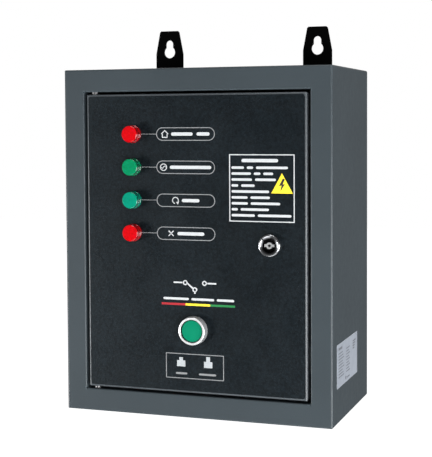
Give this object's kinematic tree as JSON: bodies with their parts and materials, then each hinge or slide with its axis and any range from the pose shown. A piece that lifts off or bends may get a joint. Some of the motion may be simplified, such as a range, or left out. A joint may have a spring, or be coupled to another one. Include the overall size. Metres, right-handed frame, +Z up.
{
  "type": "transfer switch box",
  "caption": "Wall-hung steel transfer switch box with an inset hinged door, pilot lamps, a mode push button and a cam lock, over interlocked contactors, terminals and fuses.",
  "frame": {"origin": "on the wall plane, midway between the centres of the two keyholes in the wall lugs", "axes": "+X to the right seen from the front, +Y into the wall, +Z up"},
  "size_m": [0.2902, 0.1738, 0.4325],
  "materials": {
    "enclosure_paint": "satin fine-textured grey powder coat",
    "lug_paint": "satin black powder coat",
    "galvanised": "galvanised sheet",
    "zinc_hardware": "bright zinc plate",
    "door_paint": "satin dark grey powder coat",
    "overlay_film": "fine-grained black film",
    "seal_rubber": "matt black rubber",
    "lens_red": "glossy moulded lens",
    "lens_green": "glossy moulded lens",
    "lens_teal": "glossy moulded lens",
    "lamp_black": "moulded black plastic",
    "gland_black": "moulded black nylon",
    "bezel_silver": "satin silver ring",
    "cap_green": "smooth moulded cap",
    "contact_green": "moulded contact block",
    "lock_chrome": "bright chrome plate",
    "lock_dark": "dark plated steel",
    "cam_steel": "yellow zinc plate",
    "contactor_body": "light moulded plastic",
    "contactor_cover": "dark moulded plastic",
    "carriage_white": "white moulded plastic",
    "terminal_grey": "grey moulded nylon",
    "fuse_white": "light moulded plastic",
    "carrier_grey": "grey moulded plastic",
    "relay_clear": "clear plastic cover",
    "module_plastic": "dark moulded case",
    "plug_green": "green moulded plug terminals",
    "brass": "bare brass bar",
    "label_silver": "satin silver label",
    "wire_brown": "insulated wire",
    "wire_black": "insulated wire",
    "wire_blue": "insulated wire",
    "wire_red": "insulated wire"
  },
  "bodies": {
    "enclosure": {"enclosure_shell": "enclosure_paint", "back_panel": "enclosure_paint", "lug_left": "lug_paint", "lug_right": "lug_paint", "lug_fasteners": "zinc_hardware", "gland_plate": "galvanised", "gland_plate_screws": "zinc_hardware", "gland_bodies": "gland_black", "gland_dome_nuts": "gland_black", "gland_seals": "seal_rubber", "gland_locknuts": "gland_black", "hinge_pins": "zinc_hardware", "door_stops": "enclosure_paint", "plate_studs": "zinc_hardware", "plate_nuts": "zinc_hardware", "mounting_plate": "galvanised", "din_rails": "zinc_hardware", "house_contactor_base": "contactor_body", "house_contactor_cover": "contactor_cover", "generator_contactor_base": "contactor_body", "generator_contactor_cover": "contactor_cover", "interlock_block": "contactor_cover", "terminal_blocks": "terminal_grey", "terminal_end_stops": "terminal_grey", "clamp_screws": "zinc_hardware", "fuse_bases": "fuse_white", "relay_socket": "module_plastic", "relay": "relay_clear", "control_module": "module_plastic", "control_module_terminals": "plug_green", "earth_bar": "brass", "rating_label": "label_silver", "house_wires": "wire_brown", "generator_wires": "wire_black", "load_wires": "wire_blue", "control_wires": "wire_red"},
    "door": {"door_shell": "door_paint", "door_overlay": "overlay_film", "door_gasket": "seal_rubber", "lamp_lens_house": "lens_red", "lamp_lens_generator": "lens_green", "lamp_lens_auto": "lens_teal", "lamp_lens_failure": "lens_red", "lamp_bodies": "lamp_black", "lamp_nuts": "lamp_black", "button_bezel": "bezel_silver", "button_contact_block": "contact_green", "lock_housing": "lock_chrome", "control_nuts": "zinc_hardware", "door_wires": "wire_black"},
    "mode_button": {"mode_button_cap": "cap_green"},
    "lock": {"lock_core": "lock_dark", "lock_cam": "cam_steel", "lock_cam_screw": "zinc_hardware"},
    "house_armature": {"house_carriage": "carriage_white"},
    "generator_armature": {"generator_carriage": "carriage_white"},
    "left_fuse_carrier": {"fuse_carrier_left": "carrier_grey", "fuse_link_left": "carriage_white"},
    "right_fuse_carrier": {"fuse_carrier_right": "carrier_grey", "fuse_link_right": "carriage_white"}
  },
  "joints": [
    {"name": "door_hinge", "type": "hinge", "parent": "enclosure", "child": "door", "pos_m": [-0.1123, -0.1555, -0.206], "axis": [0, 0, -1], "range_deg": [0, 105]},
    {"name": "mode_button_press", "type": "slide", "parent": "door", "child": "mode_button", "axis": [0, 1, 0], "range_m": [0, 0.004], "stiffness_N_per_m": 800, "springref_m": -0.002},
    {"name": "lock_turn", "type": "hinge", "parent": "door", "child": "lock", "pos_m": [0.081, -0.1545, -0.205], "axis": [0, 1, 0], "range_deg": [0, 90]},
    {"name": "house_armature_pull", "type": "slide", "parent": "enclosure", "child": "house_armature", "axis": [0, 1, 0], "range_m": [0, 0.003], "stiffness_N_per_m": 1500, "springref_m": -0.002},
    {"name": "generator_armature_pull", "type": "slide", "parent": "enclosure", "child": "generator_armature", "axis": [0, 1, 0], "range_m": [0, 0.003], "stiffness_N_per_m": 1500, "springref_m": -0.002},
    {"name": "left_fuse_carrier_tilt", "type": "hinge", "parent": "enclosure", "child": "left_fuse_carrier", "pos_m": [0.075, -0.0655, -0.117], "axis": [1, 0, 0], "range_deg": [0, 90]},
    {"name": "right_fuse_carrier_tilt", "type": "hinge", "parent": "enclosure", "child": "right_fuse_carrier", "pos_m": [0.0928, -0.0655, -0.117], "axis": [1, 0, 0], "range_deg": [0, 90]}
  ]
}
